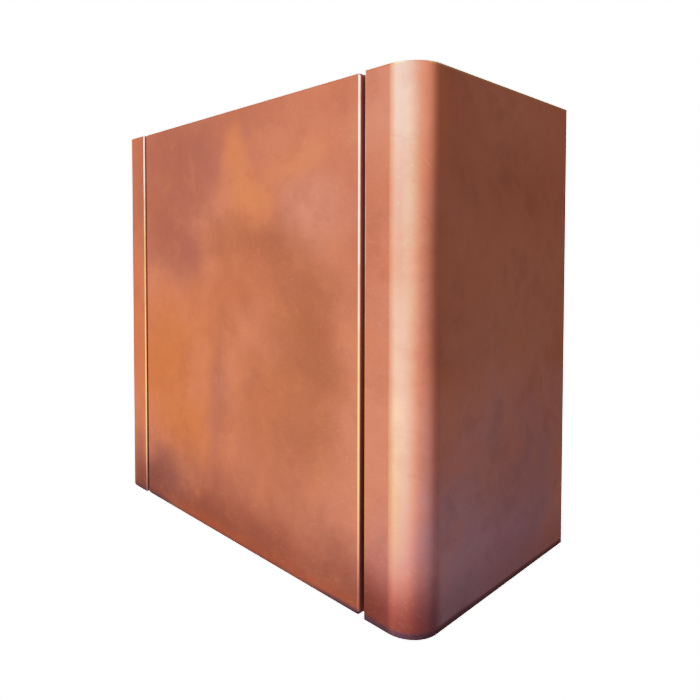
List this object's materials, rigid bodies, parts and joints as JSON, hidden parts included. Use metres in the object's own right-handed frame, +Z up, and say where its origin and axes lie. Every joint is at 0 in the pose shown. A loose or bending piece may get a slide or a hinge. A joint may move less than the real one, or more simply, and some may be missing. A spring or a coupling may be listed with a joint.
{
  "type": "wall mounted mailbox",
  "caption": "Wall mounted mailbox in flame-coloured copper sheet: round front corners, full-height side-hung door, hinged top lid over a mail mouth and a cam lock in the floor.",
  "frame": {"origin": "centre of the four wall holes, on the wall plane", "axes": "+Z up; +Y into the wall, so the door faces -Y; +X to the right of someone facing the door"},
  "size_m": [0.38, 0.202, 0.3712],
  "materials": {
    "flamed_copper": "flame-coloured copper sheet, clear lacquered",
    "plain_copper": "mill copper sheet, lightly browned",
    "rivet_copper": "browned copper rivets",
    "zinc_steel": "zinc plated",
    "steel_pin": "stainless, turned",
    "lock_chrome": "satin chrome",
    "brass": "satin brass hinge",
    "magnet": "nickel plated magnet face",
    "catch_plastic": "brown moulded plastic",
    "nylon": "natural nylon",
    "rubber": "black rubber"
  },
  "bodies": {
    "case": {"left_side_shell": "flamed_copper", "right_side_shell": "flamed_copper", "back_panel": "plain_copper", "floor_tray": "plain_copper", "top_deck": "flamed_copper", "return_rivets": "rivet_copper", "floor_rivets": "rivet_copper", "deck_rivets": "rivet_copper", "wall_washers": "rubber", "upper_pivot_bracket": "zinc_steel", "lower_pivot_bracket": "zinc_steel", "upper_pivot_pin": "steel_pin", "lower_pivot_pin": "steel_pin", "bracket_rivets": "rivet_copper", "door_bumpers": "rubber", "catch_housing": "catch_plastic", "catch_magnet": "magnet", "catch_screws": "steel_pin", "lock_barrel": "lock_chrome", "lock_nut": "zinc_steel", "fixed_hinge_leaves": "brass", "lid_hinge_pins": "steel_pin", "fixed_leaf_rivets": "rivet_copper"},
    "door": {"door_panel": "flamed_copper", "door_stiffeners": "plain_copper", "upper_door_bush": "nylon", "lower_door_bush": "nylon", "strike_plate": "zinc_steel", "lock_keeper": "zinc_steel"},
    "lid": {"lid_panel": "flamed_copper", "moving_hinge_leaves": "brass", "moving_leaf_rivets": "rivet_copper", "lid_bumpers": "rubber"},
    "lock_core": {"lock_plug": "lock_chrome", "lock_cam": "zinc_steel", "cam_screw": "steel_pin"}
  },
  "joints": [
    {"name": "door_swing", "type": "hinge", "parent": "case", "child": "door", "pos_m": [-0.1355, -0.195, 0], "axis": [0, 0, -1], "range_deg": [0, 105]},
    {"name": "lid_lift", "type": "hinge", "parent": "case", "child": "lid", "pos_m": [0, -0.036, 0.1834], "axis": [-1, 0, 0], "range_deg": [0, 100]},
    {"name": "lock_turn", "type": "hinge", "parent": "case", "child": "lock_core", "pos_m": [0.03, -0.1685, -0.172], "axis": [0, 0, -1], "range_deg": [0, 90]}
  ]
}
